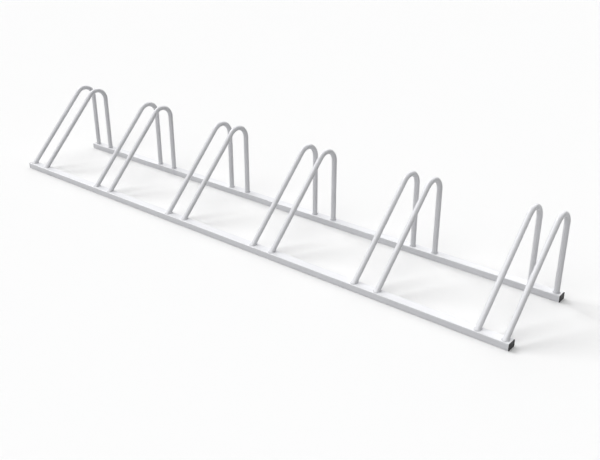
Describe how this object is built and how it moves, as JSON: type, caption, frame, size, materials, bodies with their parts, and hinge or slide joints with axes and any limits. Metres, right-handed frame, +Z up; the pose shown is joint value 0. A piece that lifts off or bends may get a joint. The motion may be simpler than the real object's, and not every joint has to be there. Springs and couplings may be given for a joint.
{
  "type": "floor bike rack",
  "caption": "Low welded steel rack whose bent tube hoops stand in pairs on two parallel floor rails, each pair holding one bike wheel upright.",
  "frame": {"origin": "on the floor, under the middle of the rack", "axes": "+X along the rails, +Y from the sloped front legs to the upright rear legs, +Z up"},
  "size_m": [1.984, 0.33, 0.269],
  "materials": {
    "frame_coat": "satin silver-grey coat on steel tube",
    "weld_coat": "rippled weld bead under the same silver-grey coat",
    "end_plug": "fine-grained black moulded plastic"
  },
  "bodies": {
    "root": {"front_rail": "frame_coat", "rear_rail": "frame_coat", "hoop_1_left": "frame_coat", "hoop_1_right": "frame_coat", "hoop_2_left": "frame_coat", "hoop_2_right": "frame_coat", "hoop_3_left": "frame_coat", "hoop_3_right": "frame_coat", "hoop_4_left": "frame_coat", "hoop_4_right": "frame_coat", "hoop_5_left": "frame_coat", "hoop_5_right": "frame_coat", "hoop_6_left": "frame_coat", "hoop_6_right": "frame_coat", "welds_1_left": "weld_coat", "welds_1_right": "weld_coat", "welds_2_left": "weld_coat", "welds_2_right": "weld_coat", "welds_3_left": "weld_coat", "welds_3_right": "weld_coat", "welds_4_left": "weld_coat", "welds_4_right": "weld_coat", "welds_5_left": "weld_coat", "welds_5_right": "weld_coat", "welds_6_left": "weld_coat", "welds_6_right": "weld_coat", "front_rail_left_plug": "end_plug", "front_rail_right_plug": "end_plug", "rear_rail_left_plug": "end_plug", "rear_rail_right_plug": "end_plug"}
  },
  "joints": []
}
